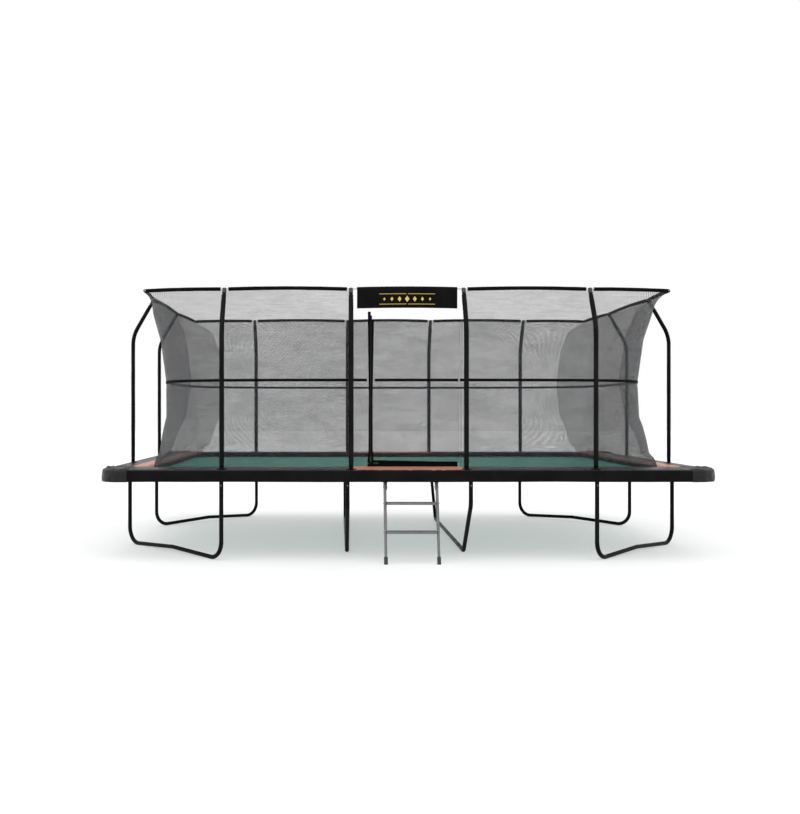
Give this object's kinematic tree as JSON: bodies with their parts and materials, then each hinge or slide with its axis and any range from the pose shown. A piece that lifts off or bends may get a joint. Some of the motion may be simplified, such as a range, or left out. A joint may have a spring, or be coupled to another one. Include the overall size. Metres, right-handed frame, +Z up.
{
  "type": "rectangular trampoline with enclosure",
  "caption": "Rectangular garden trampoline: tubular frame on six bent legs, sprung mat, padded spring cover, net enclosure on bent poles with a zipped door, hook-on ladder.",
  "frame": {"origin": "on the ground, straight below the centre of the jumping mat", "axes": "+X along the length of the frame, -Y towards the entrance and its ladder, +Z up"},
  "size_m": [6.49, 4.598, 2.9056],
  "materials": {
    "galvanised_frame": "black powder coat over galvanised tube, slightly worn at the joints",
    "black_tube": "satin black powder coat",
    "zinc_hardware": "zinc plated",
    "spring_steel": "galvanised wire",
    "pole_foam": "black PVC sleeve over closed-cell foam",
    "black_plastic": "moulded, satin",
    "rod_fibreglass": "pultruded rod",
    "black_webbing": "woven polyester",
    "net_mesh": "knitted polyethylene mesh",
    "banner_cloth": "coated cloth with a gold ornament",
    "mat_fabric": "woven polypropylene, teal green",
    "pad_black": "PVC coated cloth over foam",
    "pad_orange": "PVC coated cloth over foam",
    "ladder_steel": "galvanised, grey",
    "foot_rubber": "moulded rubber"
  },
  "bodies": {
    "enclosed_frame": {"frame_corner_front_left": "galvanised_frame", "frame_corner_front_right": "galvanised_frame", "frame_corner_back_left": "galvanised_frame", "frame_corner_back_right": "galvanised_frame", "frame_rails_front": "galvanised_frame", "frame_rails_back": "galvanised_frame", "frame_rail_left": "galvanised_frame", "frame_rail_right": "galvanised_frame", "tee_joints": "galvanised_frame", "leg_base_front_left": "black_tube", "leg_base_front_right": "black_tube", "leg_base_back_left": "black_tube", "leg_base_back_right": "black_tube", "leg_base_middle_left": "black_tube", "leg_base_middle_right": "black_tube", "leg_uprights": "black_tube", "leg_bolts": "zinc_hardware", "pole_lowers": "black_tube", "pole_uppers_front": "black_tube", "pole_uppers_back": "black_tube", "pole_uppers_side": "black_tube", "foam_sleeves_front": "pole_foam", "foam_sleeves_back": "pole_foam", "foam_sleeves_side": "pole_foam", "pole_caps": "black_plastic", "top_rods": "rod_fibreglass", "top_rail_sleeves": "black_webbing", "net_front_left": "net_mesh", "net_front_right": "net_mesh", "net_back": "net_mesh", "net_left": "net_mesh", "net_right": "net_mesh", "net_belt": "black_webbing", "banner": "banner_cloth", "zip_tape": "black_webbing", "springs_long_sides": "spring_steel", "springs_short_sides": "spring_steel", "springs_corner": "spring_steel", "pad_front_left": "pad_black", "pad_entry": "pad_orange", "pad_front_right": "pad_black", "pad_back_left": "pad_black", "pad_back_middle": "pad_orange", "pad_back_right": "pad_black", "pad_left": "pad_orange", "pad_right": "pad_orange"},
    "mat": {"jumping_mat": "mat_fabric", "mat_webbing": "black_webbing", "v_rings": "zinc_hardware"},
    "ladder": {"ladder_rails": "ladder_steel", "ladder_hooks": "ladder_steel", "ladder_steps": "ladder_steel", "ladder_feet": "foot_rubber", "ladder_bolts": "zinc_hardware"},
    "door": {"door_net": "net_mesh", "door_belt": "black_webbing", "door_zip_tape": "black_webbing", "door_hinge_cord": "black_webbing"},
    "side_slider": {"zip_slider_side": "black_plastic"},
    "bottom_slider": {"zip_slider_bottom": "black_plastic"}
  },
  "joints": [
    {"name": "mat_bounce", "type": "slide", "parent": "enclosed_frame", "child": "mat", "axis": [0, 0, -1], "range_m": [0, 0.25], "stiffness_N_per_m": 9000, "springref_m": -0.16, "deforming": ["springs_long_sides", "springs_short_sides", "springs_corner"]},
    {"name": "ladder_swing", "type": "hinge", "parent": "enclosed_frame", "child": "ladder", "pos_m": [0.018, -2.11, 0.89], "axis": [-1, 0, 0], "range_deg": [0, 16]},
    {"name": "door_swing", "type": "hinge", "parent": "enclosed_frame", "child": "door", "pos_m": [0.5655, -1.81073, 1.778], "axis": [0, -0.0495, 0.9988], "range_deg": [0, 75]},
    {"name": "side_zip", "type": "slide", "parent": "enclosed_frame", "child": "side_slider", "axis": [0, -0.0495, 0.9988], "range_m": [0, 1.45]},
    {"name": "bottom_zip", "type": "slide", "parent": "enclosed_frame", "child": "bottom_slider", "axis": [1, 0, 0], "range_m": [0, 0.85]}
  ]
}
